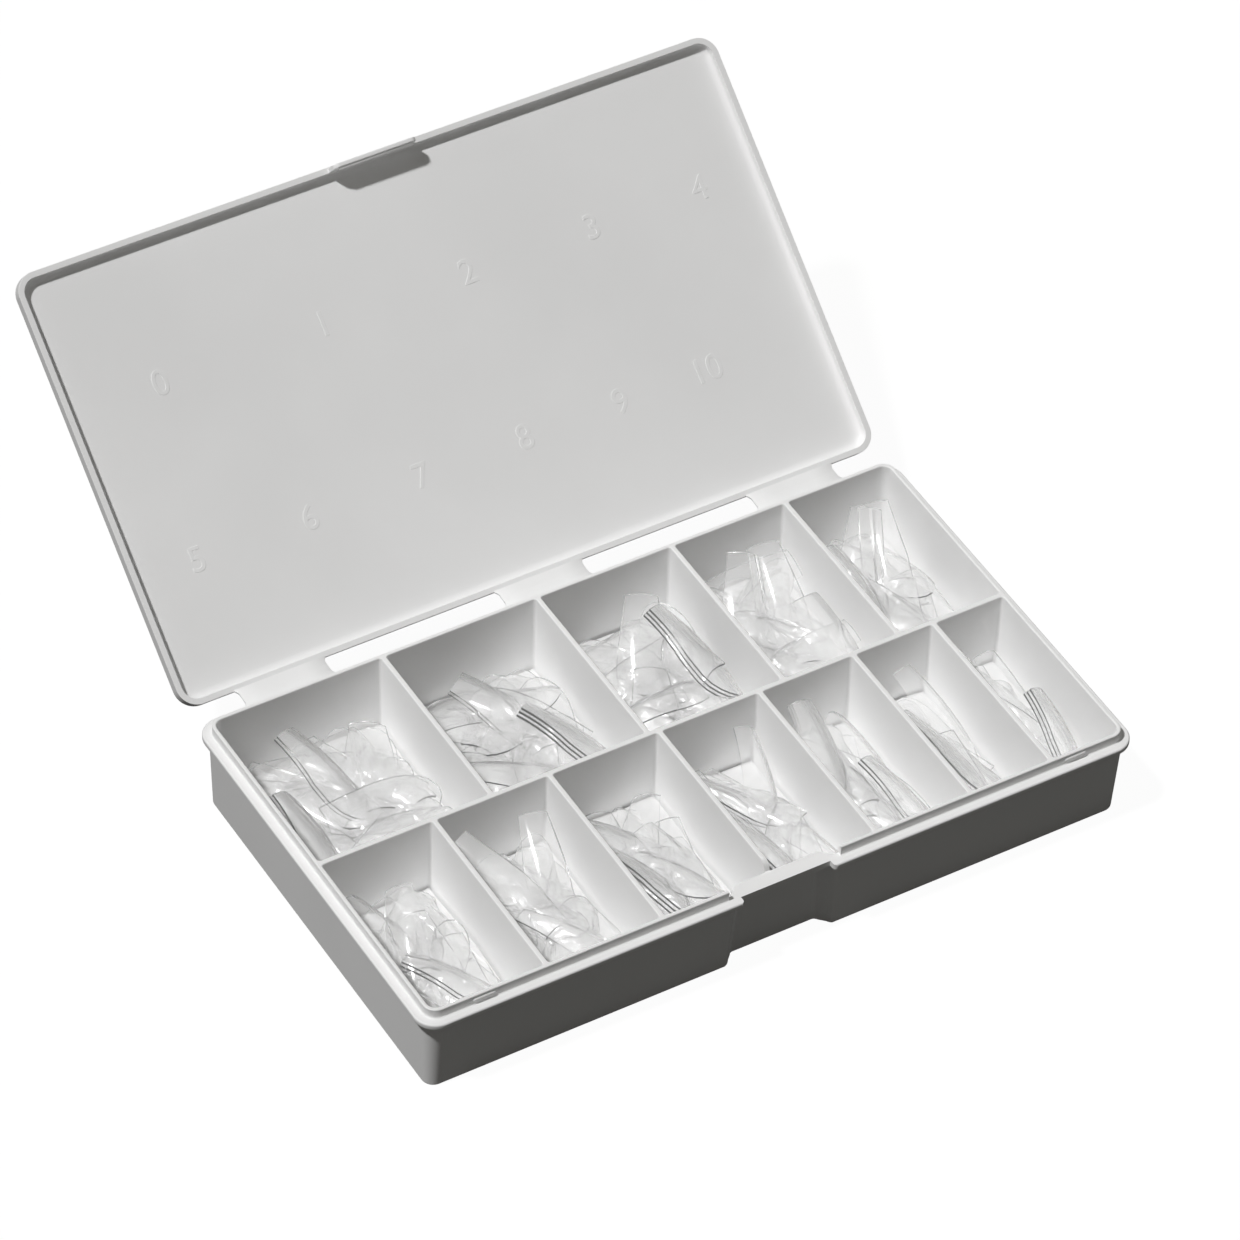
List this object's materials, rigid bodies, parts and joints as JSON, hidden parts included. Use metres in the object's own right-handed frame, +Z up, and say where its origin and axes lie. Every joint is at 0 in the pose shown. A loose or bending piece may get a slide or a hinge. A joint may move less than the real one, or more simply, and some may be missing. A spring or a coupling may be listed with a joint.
{
  "type": "parts sorting tray",
  "caption": "Shallow rectangular box with walled compartments that sort loose clear tips, and a lid on a living hinge with a snap tab.",
  "frame": {"origin": "centre of the tray's flat underside, on the surface that it stands on", "axes": "+X along the tray's long side, +Y from the latch side towards the hinge, +Z up out of the open tray"},
  "size_m": [0.1744, 0.1834, 0.0859],
  "materials": {
    "moulding": "satin",
    "clear_tip": "gloss"
  },
  "bodies": {
    "tray": {"tray_shell": "moulding", "middle_wall": "moulding", "back_divider_1": "moulding", "back_divider_2": "moulding", "back_divider_3": "moulding", "back_divider_4": "moulding", "front_divider_1": "moulding", "front_divider_2": "moulding", "front_divider_3": "moulding", "front_divider_4": "moulding", "front_divider_5": "moulding", "front_divider_6": "moulding", "hinge_web_left": "moulding", "hinge_web_middle": "moulding", "hinge_web_right": "moulding", "back_tips_1": "clear_tip", "back_tips_2": "clear_tip", "back_tips_3": "clear_tip", "back_tips_4": "clear_tip", "back_tips_5": "clear_tip", "front_tips_1": "clear_tip", "front_tips_2": "clear_tip", "front_tips_3": "clear_tip", "front_tips_4": "clear_tip", "front_tips_5": "clear_tip", "front_tips_6": "clear_tip", "front_tips_7": "clear_tip"},
    "lid": {"lid": "moulding", "latch_tab": "moulding"}
  },
  "joints": [
    {"name": "lid_hinge", "type": "hinge", "parent": "tray", "child": "lid", "pos_m": [0, 0.052, 0.02025], "axis": [1, 0, 0], "range_deg": [-38.7, 141.3], "deforming": ["hinge_web_left", "hinge_web_middle", "hinge_web_right"]}
  ]
}
